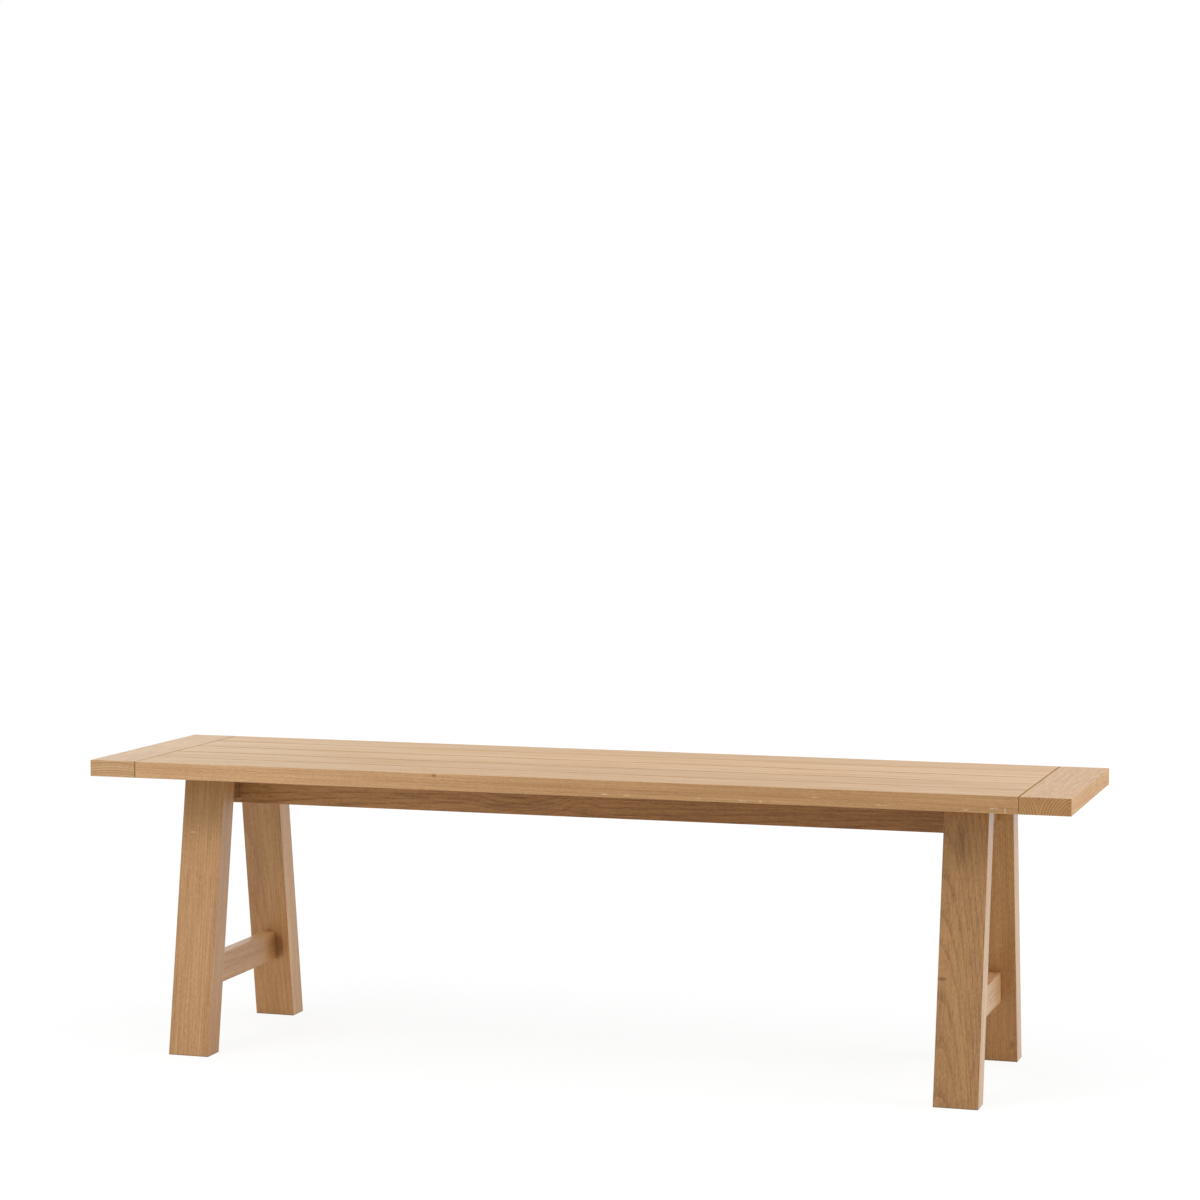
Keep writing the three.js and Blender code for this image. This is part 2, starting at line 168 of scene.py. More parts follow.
def oak(name, heart, turn, tint, faces=(), year=0.0026, rings=1.0, streaks=1.0, flecks=1.0, clouds=1.0,
        rays=0.3, fine=(8, 420, 420), calm=0.0, end_tone=0.08, sheen=0.32, lacquer=0.0, marks=(), halves=None,
        seams=(), unpolished=None):
    """Oak. heart is a point on the log's middle line, turn is how that line lies, and year is how far apart
    its rings are. A tint may give way to another along an axis, and faces that look along an axis may have
    a tint of their own, or be left unpolished. halves is where two strips are glued side by side."""
    finish = bpy.data.materials.new(name)
    finish.use_nodes = True
    coat = finish.node_tree.nodes["Principled BSDF"]
    feed = finish.node_tree.links.new
    middle_shade = 0.43
    bend = 0.010

    def sums(operation, first, second=0.0, third=0.0):
        return step(finish, "Math", {0: first, 1: second, 2: third}, operation=operation)[0]

    def more(shade, value, middle, weight):
        """Adds a layer to the shade, as much as it lies above its middle."""
        return sums("MULTIPLY_ADD", sums("SUBTRACT", value, middle), weight, shade)

    def stretched(vector, scales):
        return step(finish, "VectorMath", {0: vector, 1: scales}, operation="MULTIPLY")[0]

    def noise(vector, scales, detail=2.0, roughness=0.5):
        return step(finish, "TexNoise", {"Vector": stretched(vector, scales), "Scale": 1.0,
                                         "Detail": detail, "Roughness": roughness})

    def between(value, low, high, to_low=0.0, to_high=1.0):
        return step(finish, "MapRange", {"Value": value, "From Min": low, "From Max": high,
                                         "To Min": to_low, "To Max": to_high},
                    interpolation_type="SMOOTHSTEP")[0]

    def along(tone):
        """A plain tint, or one that gives way to another along an axis, from start to end."""
        if len(tone) == 3:
            return tone
        axis, start, end, near_tint, far_tint = tone
        return blended(finish, between(sides[axis], start, end), near_tint, far_tint)

    # the piece's place in its log, and from it the distance from the heart, bent a little
    place = step(finish, "TexCoord")["Object"]
    sides = step(finish, "SeparateXYZ", {0: place})
    if halves is not None:
        folded = sums("ABSOLUTE", sums("SUBTRACT", sides[0], halves))
        place_in_log = step(finish, "CombineXYZ", {0: folded, 1: sides[1], 2: sides[2]})[0]
    else:
        place_in_log = place
    log = step(finish, "Mapping", {"Vector": place_in_log, "Location": heart, "Rotation": turn},
               vector_type="TEXTURE")[0]
    drift = step(finish, "VectorMath", {0: noise(log, (1.3, 6, 6), 2.0)["Color"], 1: (0.5, 0.5, 0.5)},
                 operation="SUBTRACT")[0]
    grown = step(finish, "VectorMath", {0: drift, 1: (0, bend, bend), 2: log},
                 operation="MULTIPLY_ADD")[0]
    radius = step(finish, "VectorMath", {0: stretched(grown, (0, 1, 1))}, operation="LENGTH")["Value"]

    # knots and stains, which darken the wood and may bow its rings, patches of painted shade, which only darken it,
    # and scuffs, which bare it
    dark = scuffed = None
    for spot, reach, push, depth in marks:
        apart = step(finish, "VectorMath", {0: place, 1: spot}, operation="SUBTRACT")[0]
        off = step(finish, "VectorMath", {0: stretched(apart, tuple(1 / side for side in reach))},
                   operation="LENGTH")["Value"]
        if push:
            radius = sums("MULTIPLY_ADD", between(off, 0.0, 1.0, 1.0, 0.0), push, radius)
        mark = sums("MULTIPLY", between(off, 0.25, 1.0, 1.0, 0.0), abs(depth))
        if depth > 0:
            dark = mark if dark is None else sums("ADD", dark, mark)
        else:
            scuffed = mark if scuffed is None else sums("ADD", scuffed, mark)

    # year rings, narrower and wider by spells of about five years, then fibres, flecks, pores in the
    # early wood, rays that run out from the heart, and clouds
    seasons = step(finish, "TexNoise", {"W": sums("MULTIPLY", radius, 0.22 / year), "Scale": 1.0, "Detail": 2.0},
                   noise_dimensions="1D")[0]
    ring = sums("FRACT", sums("MULTIPLY_ADD", seasons, 2.0, sums("DIVIDE", radius, year)))
    early = between(ring, 0.0, 0.45, 1.0, 0.0)
    fibres = noise(log, fine, 3.0, 0.6)[0]
    dashes = between(noise(log, (170, 850, 850), 1.0)[0], 0.36, 0.64)
    pores = sums("MULTIPLY", between(noise(log, (40, 1500, 1500), 1.0)[0], 0.56, 0.70), early)
    parts = step(finish, "SeparateXYZ", {0: grown})
    around = sums("ARCTAN2", parts[2], parts[1])
    ray_place = step(finish, "CombineXYZ", {0: parts[0], 1: radius, 2: around})[0]
    silk = between(noise(ray_place, (45, 90, 240), 0.0)[0], 0.63, 0.72)
    cloud = noise(log, (3, 34, 34), 3.0, 0.6)[0]

    # which way each face looks, and how much end grain it shows
    way = Euler(turn).to_matrix() @ Vector((1, 0, 0))
    normal = step(finish, "TexCoord")["Normal"]
    looks = [sums("ABSOLUTE", part) for part in list(step(finish, "SeparateXYZ", {0: normal}))[:3]]
    facing = step(finish, "VectorMath", {0: normal, 1: way}, operation="DOT_PRODUCT")["Value"]
    end_grain = between(sums("ABSOLUTE", facing), 0.6, 0.9)

    # the layers laid on each other, from pale at 0 to brown at 1
    shade = sums("MULTIPLY_ADD", end_grain, end_tone, middle_shade)
    ring_weight = sums("MULTIPLY_ADD", end_grain, 0.60 * rings, 0.30 * rings)
    shade = more(shade, early, middle=0.22, weight=ring_weight)
    shade = more(shade, seasons, middle=0.5, weight=0.9 * rings)
    shade = more(shade, fibres, middle=0.5, weight=1.2 * streaks)
    shade = more(shade, cloud, middle=0.5, weight=0.9 * clouds)
    if calm:
        # the grain is quieter on top, where light is mirrored
        kept = between(looks[2], 0.5, 0.9, 1.0, 1.0 - calm)
        shade = sums("MULTIPLY_ADD", sums("SUBTRACT", shade, middle_shade), kept, middle_shade)
    shade = more(shade, dashes, middle=0.5, weight=0.34 * flecks)
    shade = more(shade, pores, middle=0.05, weight=0.45 * flecks)
    shade = more(shade, silk, middle=0.05, weight=-0.28 * rays)
    if dark is not None:
        shade = sums("ADD", shade, dark)
    shade = step(finish, "Clamp", {0: shade})[0]

    # its colour, roughness and fine relief, with painted shade darkening the joints' grooves and the feet's lower
    # edges
    tone = along(tint)
    for axis, own in faces:
        tone = blended(finish, between(looks[axis], 0.6, 0.9), tone, along(own))
    colour = step(finish, "VectorMath", {0: blended(finish, shade, oak_pale, oak_brown), 1: tone},
                  operation="MULTIPLY")[0]
    if scuffed is not None:
        bared = sums("MULTIPLY", scuffed, sums("MULTIPLY", dashes, 1.7))
        colour = blended(finish, bared, colour, oak_scuff)
    rough = between(fibres, 0.3, 0.7, 0.36, 0.46)
    if unpolished is not None:
        rough = sums("MAXIMUM", rough, between(looks[unpolished], 0.6, 0.9, 0.0, 0.95))
    # each seam paints shade along a joint or a foot's lower edge, and roughens the finish there
    for axis, plane, near, reach, painted_shade, upright in seams:
        groove_share = between(sums("ABSOLUTE", sums("SUBTRACT", sides[axis], plane)), near, reach, 1.0, 0.0)
        groove_share = sums("MULTIPLY", groove_share, between(looks[2], 0.05, 0.30, upright, 1.0))
        colour = blended(finish, groove_share, colour, painted_shade)
        rough = sums("MAXIMUM", rough, sums("MULTIPLY", groove_share, 0.9))
    feed(colour, coat.inputs["Base Color"])
    coat.inputs["Specular IOR Level"].default_value = sheen
    coat.inputs["Coat Weight"].default_value = lacquer
    coat.inputs["Coat Roughness"].default_value = 0.38
    feed(rough, coat.inputs["Roughness"])
    relief = sums("MULTIPLY_ADD", pores, -1.0, sums("MULTIPLY", fibres, 0.6))
    bump = step(finish, "Bump", {"Height": relief, "Distance": 0.00005, "Strength": 0.4})[0]
    feed(bump, coat.inputs["Normal"])
    return finish


# where the heart of each board's log lay from the board's middle, and how the board runs off it
seat_hearts = [(0.9, -0.050, -0.170), (2.7, 0.044, -0.210), (4.1, -0.032, -0.180), (6.2, 0.060, -0.190),
               (8.8, -0.046, -0.220)]
seat_turns = [(0, 0.010, 0.004), (0, -0.012, 0.006), (0, 0.016, -0.008), (0, -0.008, -0.006), (0, 0.012, 0.008)]

# each board's tint, from start to end along the bench, and that of the front board's edge; they grow paler
# and whiter toward the left end, which paints the stronger light and sheen there as well as the wood's tone
seat_tints = [(0, -0.6, 0.0, (0.99, 1.10, 1.10), (0.99, 1.00, 0.85)),
              (0, -0.65, -0.2, (0.96, 1.03, 0.96), (0.97, 0.98, 0.78)),
              (0, -0.65, -0.1, (1.05, 1.16, 1.18), (1.06, 1.09, 0.94)),
              (0, -0.65, 0.0, (1.08, 1.20, 1.23), (1.09, 1.12, 0.93)),
              (0, -0.65, 0.0, (1.07, 1.16, 1.15), (1.03, 1.05, 0.89))]
front_edge_tint = (0, -0.8, 0.25, (1.27, 1.34, 1.55), (0.95, 0.925, 0.865))

# how far from a joint the wood is darkened with painted shade for the V groove, all of it and at all, to what
# colour, and how much of that shows on upright faces
long_seam = (0.0010, 0.0022, (0.320, 0.135, 0.010), 1.0)
end_seams = {"left": (0.0008, 0.0016, (0.300, 0.165, 0.045), 0.55),
             "right": (0.0010, 0.0015, (0.310, 0.156, 0.020), 0.0)}

low_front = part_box("seat_board_1")[0].y
# a pin knot and pale scuffs on the front edge: where, how large, how far the rings bow, and how dark
edge_marks = [((-0.1918, low_front, 0.4452), (0.0050, 0.004, 0.0034), 0.001, 0.9),
              ((-0.6708, low_front, 0.4302), (0.0014, 0.002, 0.0040), 0, -0.35),
              ((0.0707, low_front, 0.4274), (0.0080, 0.002, 0.0014), 0, -0.45),
              ((0.1048, low_front, 0.4271), (0.0080, 0.002, 0.0014), 0, -0.40),
              ((0.2120, low_front, 0.4272), (0.0045, 0.002, 0.0018), 0, -0.50),
              ((0.2790, low_front, 0.4262), (0.0080, 0.002, 0.0015), 0, -0.60),
              ((0.3045, low_front, 0.4260), (0.0045, 0.002, 0.0020), 0, -0.45),
              ((0.3839, low_front, 0.4353), (0.0110, 0.002, 0.0013), 0, -0.50),
              ((0.4800, low_front, 0.4282), (0.0150, 0.002, 0.0016), 0, -0.30),
              ((0.6011, low_front, 0.4265), (0.0060, 0.002, 0.0015), 0, -0.40),
              ((0.6427, low_front, 0.4298), (0.0100, 0.002, 0.0022), 0, -0.45),
              ((0.6571, low_front, 0.4275), (0.0013, 0.002, 0.0055), 0, -0.60)]

for number in range(5):
    node = f"seat_board_{number + 1}"
    low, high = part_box(node)
    piece = sawn(f"{node}_oak", Vector((-shoulder, low.y, low.z)), Vector((shoulder, high.y, high.z)))
    round_over(piece, arris)
    middle = (low + high) / 2
    tongue_low = low.y + (tongue_setback if number == 0 else arris)
    tongue_high = high.y - (tongue_setback if number == 4 else arris)
    share = (tongue_high - tongue_low) / (high.y - low.y - 2 * arris)
    for end in (-1, 1):
        pick_faces(piece, lambda centre, facing: facing.x * end > 0.99 and centre.x * end > shoulder - arris / 10)
        bpy.ops.mesh.extrude_region_move(TRANSFORM_OT_translate={"value": (0, 0, 0)})
        bpy.ops.transform.resize(value=(1, share, tongue_height / (high.z - low.z - 2 * arris)),
                                 center_override=middle)
        bpy.ops.transform.translate(value=(0, (tongue_low + tongue_high) / 2 - middle.y, 0))
        bpy.ops.mesh.extrude_region_move(TRANSFORM_OT_translate={"value": (end * (high.x - shoulder), 0, 0)})
        bpy.ops.object.mode_set(mode="OBJECT")
    for joint in (number, number + 1):
        if 1 <= joint <= 4:
            spline_low, spline_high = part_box(f"seat_spline_{joint}")
            margin = Vector((past, play, play))
            groove(piece, spline_low - margin, spline_high + margin)
    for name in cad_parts:
        if "seat_insert" in name or "rail_screw" in name:
            pin_low, pin_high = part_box(name)
            x, y = (pin_low.x + pin_high.x) / 2, (pin_low.y + pin_high.y) / 2
            if low.y < y < high.y:
                width = pin_high.x - pin_low.x if "insert" in name else pilot_hole
                bore(piece, (x, y, low.z - past), (x, y, pin_high.z + end_gap), width + 2 * play)
    heart = middle + Vector(seat_hearts[number])
    seams = [(0, -shoulder - joint_gap / 2, *end_seams["left"]), (0, shoulder + joint_gap / 2, *end_seams["right"])]
    seams += [(1, low.y, *long_seam)] if number > 0 else []
    seams += [(1, high.y, *long_seam)] if number < 4 else []
    marks = edge_marks if number == 0 else ()
    faces = [(1, front_edge_tint)] if number == 0 else ()
    finish = oak(f"{node}_oak", heart, seat_turns[number], seat_tints[number], faces, rings=0.2, streaks=1.1,
                 flecks=0.6, clouds=0.4, rays=0.1, fine=(5, 120, 680) if number == 0 else (2, 80, 420), calm=0.65,
                 sheen=0.50, marks=marks, seams=seams)
    fit(piece, node, finish)

# Splines
# Strips of thin birch plywood, glued into grooves along the seat boards' edges. They keep the
# boards level, and the end boards hide them. They keep the shapes of the CAD model.
veneer = 0.0026
glue_line = 0.0004


def birch_ply():
    """Birch veneers, pale and brown by turns, with fine grain along the strip."""
    finish = bpy.data.materials.new("birch_ply")
    finish.use_nodes = True
    coat = finish.node_tree.nodes["Principled BSDF"]
    place = step(finish, "TexCoord")["Object"]
    height = step(finish, "SeparateXYZ", {0: place})[2]
    depth = step(finish, "Math", {0: height, 1: veneer}, operation="PINGPONG")[0]
    layer = step(finish, "MapRange", {"Value": depth, "From Min": (veneer - glue_line) / 2,
                                      "From Max": (veneer + glue_line) / 2})[0]
    grain_place = step(finish, "VectorMath", {0: place, 1: (12, 300, 300)}, operation="MULTIPLY")[0]
    grain = step(finish, "TexNoise", {"Vector": grain_place, "Scale": 1.0, "Detail": 3.0})[0]
    shade = step(finish, "Math", {0: grain, 1: 0.6, 2: layer}, operation="MULTIPLY_ADD")[0]
    colour = blended(finish, step(finish, "Clamp", {0: shade})[0], (0.66, 0.50, 0.32), (0.47, 0.31, 0.17))
    finish.node_tree.links.new(colour, coat.inputs["Base Color"])
    coat.inputs["Roughness"].default_value = 0.7
    return finish


ply = birch_ply()
for number in range(1, 5):
    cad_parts[f"seat_spline_{number}"].material_slots[0].material = ply

# End boards
# An oak board across each end of the seat, its grain running front to back. A stopped groove
# along its inner edge holds the panel's tongue, so the seat can swell and shrink. The outer
# edges are left unpolished, and the right board is glued up from two strips.
ends = {
    # how far the log's heart lies from the board's middle, or across from the strips' glue line, and
    # what the wood is like: faces has the tints of the sawn ends and of the outer edge
    # the left board's tints grow paler and whiter toward the back and on its sawn ends, painting sheen there as
    # well as the wood's tone
    "left": ((0.01, 1.9, -0.26), {
        "tint": (1, -0.15, 0.10, (0.985, 1.065, 1.12), (1.045, 1.17, 1.25)),
        "faces": [(1, (1.10, 1.165, 1.32)), (0, (1.00, 1.00, 1.00))],
        "year": 0.0030, "rings": 0.9, "end_tone": 0.0, "calm": 0.5, "sheen": 0.50}),
    "right": ((0.060, 5.3, -0.080), {
        "tint": (0.99, 0.99, 0.94),
        "faces": [(1, (0.98, 0.955, 0.87)), (0, (1.15, 1.31, 1.74))],
        "year": 0.0038, "rings": 0.75, "end_tone": 0.20, "sheen": 0.30, "halves": 0.704}),
}

for side, sign in (("left", -1), ("right", 1)):
    node = f"end_board_{side}"
    low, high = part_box(node)
    piece = sawn(f"{node}_oak", low, high)
    round_over(piece, arris)
    inside = high.x if sign < 0 else low.x
    deep = sign * (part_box("seat_board_3")[1].x + end_gap)
    middle = (low + high) / 2
    rim = tongue_setback - play
    half = tongue_height / 2 + play
    across = sorted((inside - sign * past, deep))
    groove(piece, Vector((across[0], low.y + rim, middle.z - half)),
           Vector((across[1], high.y - rim, middle.z + half)))
    off, wood = ends[side]
    heart = (off[0] + (0 if "halves" in wood else middle.x), off[1], middle.z + off[2])
    finish = oak(f"{node}_oak", heart, (0, 0.01, math.radians(90)), streaks=0.5, flecks=0.35, clouds=0.5,
                 fine=(30, 260, 420), seams=[(0, inside, *end_seams[side])], unpolished=0, **wood)
    fit(piece, node, finish)

# Legs
# Four oak legs, 65 by 40 mm, with their feet and tops sawn level. Each leans in under the
# seat, and two dowel holes take each bearer and stretcher. The feet stand flat on the floor.
legs = {
    # how far the log's heart lies from the leg's middle, across, in depth and along, how the log is turned
    # off the leg, and what the wood is like: tint is for front and back, and faces has that of the sides;
    # where these tints change with height they also paint light and shade, as noted at each leg
    # left front: the front darkens toward the top, painted shade under the seat, and the sides darken toward the
    # floor, painted shade there
    "left_leg_front": ((0.100, 0.035, 1.2), (0.004, 0.006), {
        "tint": (2, 0.28, 0.42, (1.01, 1.00, 1.03), (0.87, 0.81, 0.66)),
        "faces": [(0, (2, 0.02, 0.14, (0.92, 0.78, 0.46), (1.06, 1.03, 1.00)))],
        "year": 0.0026, "rings": 0.35, "streaks": 1.1, "flecks": 0.7, "clouds": 0.2,
        "marks": [((-0.605, -0.1362, 0.3357), (0.007, 0.004, 0.0018), 0, -0.5)]}),
    # left back: the front is lighter toward the floor, painted light bounced off it
    "left_leg_back": ((-0.035, 0.065, 3.4), (0.010, 0.040), {
        "tint": (2, 0.00, 0.32, (1.22, 1.17, 1.09), (1.02, 0.98, 0.90)),
        "faces": [(0, (1.24, 1.26, 1.32))],
        "year": 0.0040, "rings": 0.45, "streaks": 0.8, "flecks": 0.6, "clouds": 1.0,
        # the mark is a painted shadow on the leg's front beside the stretcher's end
        "marks": [((-0.5775, 0.131, 0.1170), (0.015, 0.010, 0.032), 0, 0.9)]}),
    # right front: the front darkens toward the top, painted shade under the seat; the sides are whiter low down, a
    # painted sheen, and darker toward the top, painted shade under the seat
    "right_leg_front": ((-0.032, 0.055, 5.6), (-0.022, 0.075), {
        "tint": (2, 0.28, 0.42, (0.77, 0.725, 0.63), (0.73, 0.64, 0.45)),
        "faces": [(0, (2, 0.17, 0.36, (1.03, 1.11, 1.26), (0.77, 0.70, 0.66)))],
        "year": 0.0045, "rings": 0.9, "streaks": 1.0, "flecks": 1.0, "clouds": 0.9,
        "marks": [((0.5644, -0.1613, 0.179), (0.010, 0.006, 0.0036), 0, 0.9),
                  # painted shade at the top of the leg, under the seat
                  ((0.583, -0.130, 0.365), (0.012, 0.010, 0.080), 0, 0.30)]}),
    # right back: the sides are whiter low down, a painted sheen, and darker toward the top, painted shade under the
    # seat
    "right_leg_back": ((0.080, -0.050, 7.9), (-0.010, 0.008), {
        "tint": (2, 0.10, 0.36, (0.93, 0.825, 0.61), (0.96, 0.90, 0.71)),
        "faces": [(0, (2, 0.17, 0.38, (1.00, 1.10, 1.30), (0.78, 0.72, 0.71)))],
        "year": 0.0030, "rings": 0.5, "streaks": 0.9, "flecks": 1.0, "clouds": 0.6,
        "marks": [((0.6153, 0.1452, 0.0267), (0.006, 0.004, 0.010), 0, 0.40)]}),
}
leg_lean = math.atan(0.16017)
# the leg's depth along the floor, and how far its foot's outer edge stands from the bench's middle
leg_depth = 0.04051
foot_reach = 0.190
frame_arris = 0.0006
frame_lacquer = 0.30
dowel_width = 0.008
# a painted contact shadow along the feet's lower edges, where they meet the floor
painted_foot_shadow = (0.0005, 0.0019, (0.230, 0.125, 0.055), 1.0)


def dowel_holes(piece, wanted):
    """Drills a piece for the dowels named by wanted."""
    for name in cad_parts:
        if "dowel" in name and wanted in name:
            low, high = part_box(name)
            middle = (low + high) / 2
            run = high - low
            way = Vector((1, 0, 0)) if run.x > run.y else Vector((0, 1, 0))
            reach = way * (max(run.x, run.y) / 2 + end_gap)
            bore(piece, middle - reach, middle + reach, dowel_width + 2 * play, 24)


for node, (off, twist, wood) in legs.items():
    low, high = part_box(node)
    front = -1 if node.endswith("front") else 1
    outside = front * foot_reach
    inside = outside - front * leg_depth
    foot_low = Vector((low.x, min(outside, inside), low.z))
    foot_high = Vector((high.x, max(outside, inside), high.z))
    piece = sawn(f"{node}_oak", foot_low, foot_high)
    pick_faces(piece, lambda centre, facing: facing.z > 0.99)
    bpy.ops.transform.translate(value=(0, -front * math.tan(leg_lean) * (high.z - low.z), 0))
    round_over(piece, frame_arris)
    side, _, place = node.split("_")
    dowel_holes(piece, f"{side}_bearer_dowel_{place}")
    dowel_holes(piece, f"{side}_stretcher_dowel_{place}")
    grain = Matrix.Rotation(front * leg_lean, 3, "X") @ Matrix.Rotation(-math.pi / 2, 3, "Y")
    grain = grain @ Matrix.Rotation(twist[0], 3, "Y") @ Matrix.Rotation(twist[1], 3, "Z")
    heart = (low + high) / 2 + Vector((off[0], off[1], 0)) + grain @ Vector((off[2], 0, 0))
    finish = oak(f"{node}_oak", heart, grain.to_euler(), lacquer=frame_lacquer,
                 seams=[(2, low.z, *painted_foot_shadow)], **wood)
    fit(piece, node, finish)

# Bearers and stretchers
# One bearer under the seat and one stretcher near the floor join the legs of each trestle.
# Both are 19 mm oak on edge, their ends cut to the legs' lean and held by two glued dowels.
cross_pieces = {
    # how far the log's heart lies from the piece's middle, across, along and up, and what the wood is like:
    # faces has the tint of the top; some tints and marks paint light and shade, as noted at each piece
    # the left bearer's dark tint is painted shade in the niche behind the front leg
    "left_bearer": ((0.02, 2.2, -0.08), {"tint": (0.62, 0.54, 0.43), "streaks": 1.2}),
    "right_bearer": ((-0.03, 4.4, 0.09), {"tint": (0.86, 0.83, 0.76), "streaks": 1.2}),
    "left_stretcher": ((0.05, 6.6, -0.03), {
        # the top's pale tint, paler still toward the far end, is a painted sheen
        "tint": (1.16, 1.11, 1.06), "faces": [(2, (1, -0.02, 0.09, (1.54, 1.62, 1.76), (1.70, 2.00, 2.30)))],
        # the mark is painted shade where the stretcher meets the back leg
        "rings": 0.5, "streaks": 0.6, "marks": [((-0.581, 0.130, 0.116), (0.012, 0.050, 0.030), 0, 0.42)]}),
    "right_stretcher": ((0.04, 8.1, 0.05), {
        # the top's pale tint is a painted sheen; the mark is a pin knot
        "tint": (1.04, 1.12, 1.33), "faces": [(2, (1.53, 1.72, 2.15))],
        "rings": 0.8, "streaks": 0.9, "marks": [((0.600, 0.0395, 0.1133), (0.003, 0.008, 0.0030), 0, 0.60)]}),
}
bolt_hole = 0.0064
head_hole = 0.013
head_depth = 0.015

for node, (off, wood) in cross_pieces.items():
    low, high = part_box(node)
    piece = sawn(f"{node}_oak", low, high)
    pick_faces(piece, lambda centre, facing: facing.z > 0.99)
    half = high.y
    top_half = half - math.tan(leg_lean) * (high.z - low.z)
    bpy.ops.transform.resize(value=(1, top_half / half, 1), center_override=(0, 0, high.z))
    round_over(piece, frame_arris, lambda middle, run: abs(run.y) > 0.99)
    dowel_holes(piece, node)
    side = node.split("_")[0]
    if "bearer" in node:
        dowel_holes(piece, f"{side}_rail_dowel")
        bolt_low, bolt_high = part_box(f"{side}_rail_bolt")
        middle = (bolt_low + bolt_high) / 2
        bore(piece, (low.x - past, 0, middle.z), (high.x + past, 0, middle.z), bolt_hole)
        for place in ("front", "back"):
            head_low, head_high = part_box(f"{side}_seat_bolt_{place}")
            x, y = (head_low.x + head_high.x) / 2, (head_low.y + head_high.y) / 2
            bore(piece, (x, y, low.z - past), (x, y, low.z + head_depth), head_hole)
            bore(piece, (x, y, low.z), (x, y, high.z + past), bolt_hole)
    heart = (low + high) / 2 + Vector(off)
    finish = oak(f"{node}_oak", heart, (0, 0.01, math.radians(90)), flecks=0.7, lacquer=frame_lacquer, **wood)
    fit(piece, node, finish)

# Dowels
# Beech pins, glued into both parts of each joint and hidden once it is closed. They keep the
# shapes of the CAD model.


def beech_wood():
    """Beech: even and pale, with short brown flecks along the pin."""
    finish = bpy.data.materials.new("beech")
    finish.use_nodes = True
    coat = finish.node_tree.nodes["Principled BSDF"]
    place = step(finish, "TexCoord")["Object"]
    fleck_place = step(finish, "VectorMath", {0: place, 1: (700, 160, 1400)}, operation="MULTIPLY")[0]
    flecks = step(finish, "TexNoise", {"Vector": fleck_place, "Scale": 1.0, "Detail": 2.0})[0]
    shade = step(finish, "MapRange", {"Value": flecks, "From Min": 0.5, "From Max": 0.72})[0]
    colour = blended(finish, shade, (0.68, 0.50, 0.32), (0.48, 0.29, 0.16))
    finish.node_tree.links.new(colour, coat.inputs["Base Color"])
    coat.inputs["Roughness"].default_value = 0.6
    return finish


beech = beech_wood()
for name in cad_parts:
    if "dowel" in name:
        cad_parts[name].material_slots[0].material = beech

# Long rail
# One oak rail on edge under the middle of the seat. Each end is notched round the bearer, with
# a lip that runs on under it, and drilled for two dowels, a bolt and a barrel nut.
notch_gap = 0.0003
notch_length = 0.05
nut_hole = 0.0104
screw_hole = 0.0054
screw_head_hole = 0.011
screw_head_depth = 0.012

low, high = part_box("long_rail")
piece = sawn("long_rail_oak", low, high)
round_over(piece, frame_arris, lambda middle, run: abs(run.x) > 0.99)
for side, sign in (("left", -1), ("right", 1)):
    bearer_low, bearer_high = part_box(f"{side}_bearer")
    inner = (bearer_high.x if sign < 0 else bearer_low.x) - sign * notch_gap
    across = sorted((inner, inner + sign * notch_length))
    groove(piece, Vector((across[0], low.y - past, bearer_low.z - notch_gap)),
           Vector((across[1], high.y + past, high.z + past)))
    dowel_holes(piece, f"{side}_rail_dowel")
    bolt_low, bolt_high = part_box(f"{side}_rail_bolt")
    nut_low, nut_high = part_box(f"{side}_barrel_nut")
    middle = (bolt_low + bolt_high) / 2
    bore(piece, (bolt_low.x, 0, middle.z), (bolt_high.x, 0, middle.z), bolt_hole)
    x = (nut_low.x + nut_high.x) / 2
    bore(piece, (x, nut_low.y, middle.z), (x, high.y + past, middle.z), nut_hole)
for number in range(1, 4):
    screw_low, screw_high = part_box(f"rail_screw_{number}")
    x = (screw_low.x + screw_high.x) / 2
    bore(piece, (x, 0, low.z - past), (x, 0, low.z + screw_head_depth), screw_head_hole)
    bore(piece, (x, 0, low.z), (x, 0, high.z + past), screw_hole)
# two marks bow the rings in the rail's middle, one up and one down
# the rail's tint darkens toward the right end, painting the light's fall-off there as well as the wood's tone
finish = oak("long_rail_oak", (-3.0, 0.105, 0.372), (0, 0.004, -0.022),
             (0, -0.55, 0.33, (0.90, 0.825, 0.71), (0.645, 0.53, 0.36)), year=0.0036, rings=1.1, streaks=1.5,
             flecks=0.9, clouds=0.9, rays=0.2, fine=(22, 520, 520),
             marks=[((-0.120, low.y, 0.386), (0.100, 0.020, 0.034), 0.007, 0.12),
                    ((-0.020, low.y, 0.392), (0.040, 0.020, 0.026), -0.004, 0.08)])
fit(piece, "long_rail", finish)

# Fixings
# Zinc-plated flat-headed bolts and barrel nuts for the rail, bolts with washers into brass
# inserts for the seat, and three pan-headed screws through the rail.


def plated(name, colour, rough):
    """Plated metal, a little clouded."""
    finish = bpy.data.materials.new(name)
    finish.use_nodes = True
    coat = finish.node_tree.nodes["Principled BSDF"]
    place = step(finish, "TexCoord")["Object"]
    cloud = step(finish, "TexNoise", {"Vector": place, "Scale": 900.0, "Detail": 3.0})[0]
    dull = tuple(0.8 * part for part in colour)
    finish.node_tree.links.new(blended(finish, cloud, colour, dull), coat.inputs["Base Color"])
    worn = step(finish, "MapRange", {"Value": cloud, "To Min": rough - 0.08, "To Max": rough + 0.08})[0]
    finish.node_tree.links.new(worn, coat.inputs["Roughness"])
    coat.inputs["Metallic"].default_value = 1.0
    return finish


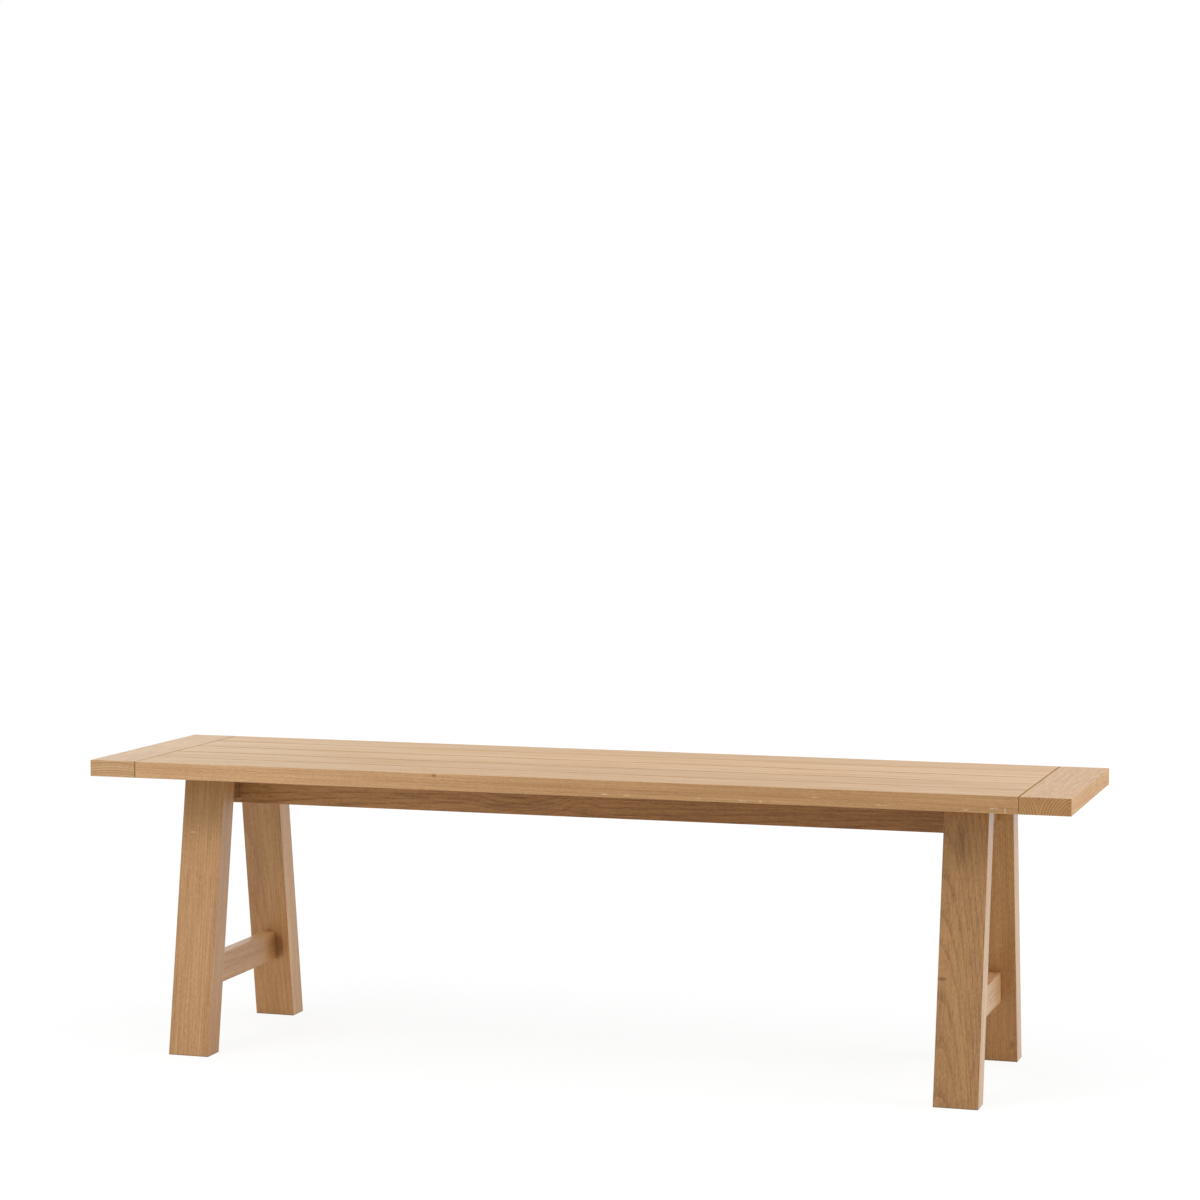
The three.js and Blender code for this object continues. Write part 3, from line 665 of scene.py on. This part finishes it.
zinc = plated("zinc", (0.52, 0.54, 0.57), 0.34)
brass = plated("brass", (0.62, 0.45, 0.20), 0.30)
for name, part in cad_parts.items():
    if "insert" in name:
        part.material_slots[0].material = brass
    elif any(word in name for word in ("bolt", "washer", "nut", "screw")):
        part.material_slots[0].material = zinc

# Camera
# Its place, turn and focal length were found from the bench's straight edges, so that the drawn
# edges lie on the photographed ones.
camera_place = (1.3801387, -4.5308403, 0.99971)
turned_left = 0.2946178
tipped_down = 0.0637379
rolled = 0.0031079

camera = bpy.data.cameras.new("camera")
camera.sensor_width = 36.0
camera.lens = 94.0907
camera.clip_end = 60.0
stand = bpy.data.objects.new("camera", camera)
bpy.context.scene.collection.objects.link(stand)
aim = Matrix.Rotation(turned_left, 4, "Z") @ Matrix.Rotation(math.pi / 2 - tipped_down, 4, "X")
stand.matrix_world = Matrix.Translation(camera_place) @ aim @ Matrix.Rotation(rolled, 4, "Z")
bpy.context.scene.camera = stand

# Floor
# A plain white floor. The camera and reflections see mostly its own white, and farther off only that,
# so that the bench's shadow on it stays soft and pale and the floor runs into the white room.
bpy.ops.object.select_all(action="DESELECT")
bpy.ops.mesh.primitive_plane_add(size=60, location=(0, 0, 0))
floor = bpy.context.object
floor.name = "floor"
white = bpy.data.materials.new("white_floor")
white.use_nodes = True
chalk = white.node_tree.nodes["Principled BSDF"]
chalk.inputs["Base Color"].default_value = (0.86, 0.86, 0.86, 1)
chalk.inputs["Roughness"].default_value = 0.9
chalk.inputs["Specular IOR Level"].default_value = 0.0
rays = step(white, "LightPath")
seen = step(white, "Math", {0: rays["Is Camera Ray"], 1: rays["Is Glossy Ray"]}, operation="MAXIMUM")[0]
away = step(white, "VectorMath", {0: step(white, "TexCoord")["Object"]}, operation="LENGTH")["Value"]
share = step(white, "MapRange", {"Value": away, "From Min": 0.8, "From Max": 2.4, "To Min": 0.86, "To Max": 1.0},
             interpolation_type="SMOOTHSTEP")[0]
amount = step(white, "Math", {0: seen, 1: share}, operation="MULTIPLY")[0]
glow = step(white, "Emission", {"Color": (1, 1, 1, 1), "Strength": 1.03})[0]
both = step(white, "MixShader", {0: amount, 1: chalk.outputs[0], 2: glow})[0]
white.node_tree.links.new(both, white.node_tree.nodes["Material Output"].inputs["Surface"])
floor.data.materials.append(white)

# Light
# A pale room all round. The main lamp is a large soft one on the right, which the wood doesn't mirror,
# because that bleached the seat when seen from the left end. A weaker one stands at the front left, two
# hang overhead, and two low ones far behind and a small one at the back right fill in.
room = bpy.data.worlds.new("room")
bpy.context.scene.world = room
room.use_nodes = True
room.node_tree.nodes.clear()
paths = step(room, "LightPath")
straight = step(room, "Math", {0: paths["Is Camera Ray"], 1: paths["Is Glossy Ray"]}, operation="MAXIMUM")[0]
straight = step(room, "Math", {0: straight, 1: paths["Is Transmission Ray"]}, operation="MAXIMUM")[0]
soft = step(room, "Background", {"Color": (1, 1, 1, 1), "Strength": 0.57})[0]
bright = step(room, "Background", {"Color": (1, 1, 1, 1), "Strength": 1.0})[0]
sky = step(room, "MixShader", {0: straight, 1: soft, 2: bright})[0]
room.node_tree.links.new(sky, room.node_tree.nodes.new("ShaderNodeOutputWorld").inputs["Surface"])
lamps_aim = Vector((0, 0, 0.3))


def lamp(name, place, size, power, mirrored=True):
    """A square soft box, so many metres wide and so many watts, aimed below the seat. Glossy surfaces may
    mirror it or not."""
    light = bpy.data.lights.new(name, "AREA")
    light.size = size
    light.energy = power
    box = bpy.data.objects.new(name, light)
    bpy.context.scene.collection.objects.link(box)
    box.location = place
    box.visible_glossy = mirrored
    box.rotation_euler = (lamps_aim - Vector(place)).to_track_quat("-Z", "Y").to_euler()


lamp("overhead", (0, 0, 4.0), 2.6, 22)
lamp("front", (0.3, -1.8, 3.8), 1.6, 20)
lamp("left", (-1.8, -2.2, 3.4), 1.6, 50)
lamp("right", (4.6, 0.2, 2.0), 2.2, 95, mirrored=False)
lamp("back_left", (-4.4, 5.0, 1.6), 3.0, 12)
lamp("back", (0.9, 5.0, 1.6), 3.0, 7)
lamp("behind_right", (1.2, 1.8, 0.35), 0.9, 1.0)

scene_view = bpy.context.scene.view_settings
scene_view.view_transform = "Standard"
